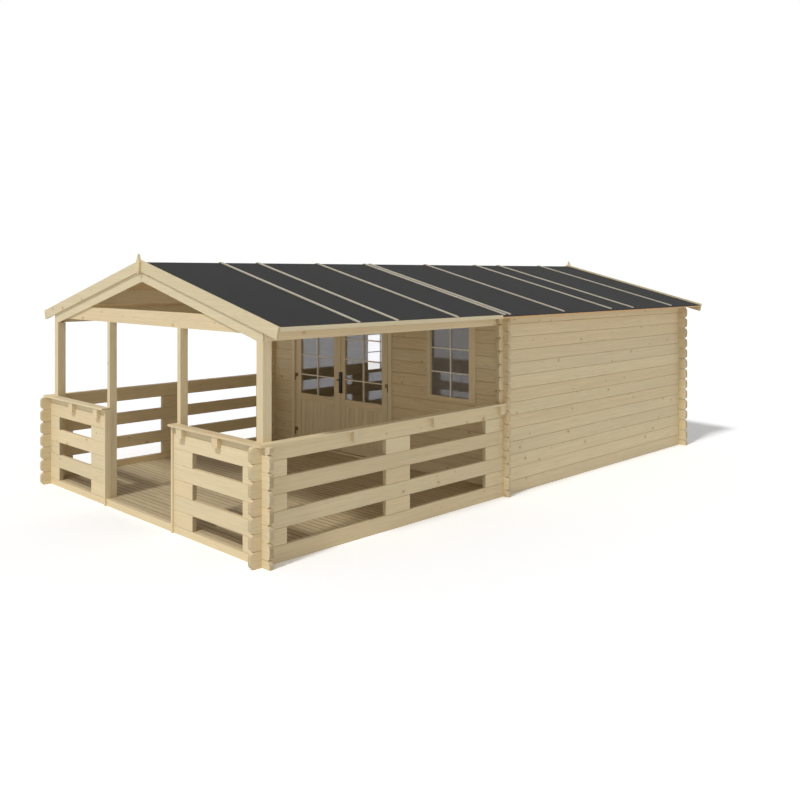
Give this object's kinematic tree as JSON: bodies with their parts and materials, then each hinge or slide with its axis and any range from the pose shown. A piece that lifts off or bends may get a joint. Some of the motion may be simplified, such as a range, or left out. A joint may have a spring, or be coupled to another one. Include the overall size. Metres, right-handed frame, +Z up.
{
  "type": "log garden cabin with veranda",
  "caption": "Log-walled garden cabin with a low gable roof, a glazed double door, windows and a deep roofed veranda behind open log railings.",
  "frame": {"origin": "middle of the footprint at ground level", "axes": "+X to the right seen from the front, +Y from the veranda to the rear wall, +Z up"},
  "size_m": [4.534, 7.74, 2.6397],
  "materials": {
    "log_timber": "planed spruce logs, bare",
    "planed_timber": "planed spruce boards, bare",
    "floor_timber": "planed floorboards, bare",
    "roof_timber": "sawn roof boards, bare",
    "roofing_felt": "mineral-faced bitumen felt",
    "clear_glass": "clear window glass",
    "brown_metal": "brown coated steel",
    "black_metal": "black coated metal"
  },
  "bodies": {
    "cabin": {"sill_front": "log_timber", "rails_front": "log_timber", "blocks_front": "log_timber", "rails_sides": "log_timber", "blocks_sides": "log_timber", "wall_right": "log_timber", "wall_left": "log_timber", "wall_front_sides": "log_timber", "gable_front": "log_timber", "wall_rear": "log_timber", "eave_beams": "log_timber", "tie_beam": "log_timber", "ridge_purlin": "log_timber", "side_purlins": "log_timber", "cap_front": "planed_timber", "caps_sides": "planed_timber", "cap_brackets": "planed_timber", "end_boards": "planed_timber", "corner_posts": "planed_timber", "inner_posts": "planed_timber", "eave_strips": "planed_timber", "bargeboards": "planed_timber", "under_bargeboards": "planed_timber", "finials": "planed_timber", "door_jambs": "planed_timber", "door_head": "planed_timber", "door_sill": "planed_timber", "door_covers": "planed_timber", "window_frames": "planed_timber", "veranda_floor": "floor_timber", "cabin_floor": "floor_timber", "floor_bearers": "floor_timber", "roof_boards_left": "roof_timber", "roof_boards_right": "roof_timber", "roof_felt": "roofing_felt", "roof_battens": "roofing_felt", "window_glass": "clear_glass", "hinge_pins": "brown_metal"},
    "left_door": {"door_leaf_left": "planed_timber", "door_glass_left": "clear_glass", "hinge_straps_left": "brown_metal"},
    "right_door": {"door_leaf_right": "planed_timber", "door_glass_right": "clear_glass", "hinge_straps_right": "brown_metal", "door_handle": "black_metal"}
  },
  "joints": [
    {"name": "left_door_swing", "type": "hinge", "parent": "cabin", "child": "left_door", "pos_m": [-1.555, -0.53, 1.016], "axis": [0, 0, -1], "range_deg": [0, 110]},
    {"name": "right_door_swing", "type": "hinge", "parent": "cabin", "child": "right_door", "pos_m": [0.265, -0.53, 1.016], "axis": [0, 0, 1], "range_deg": [0, 110]}
  ]
}
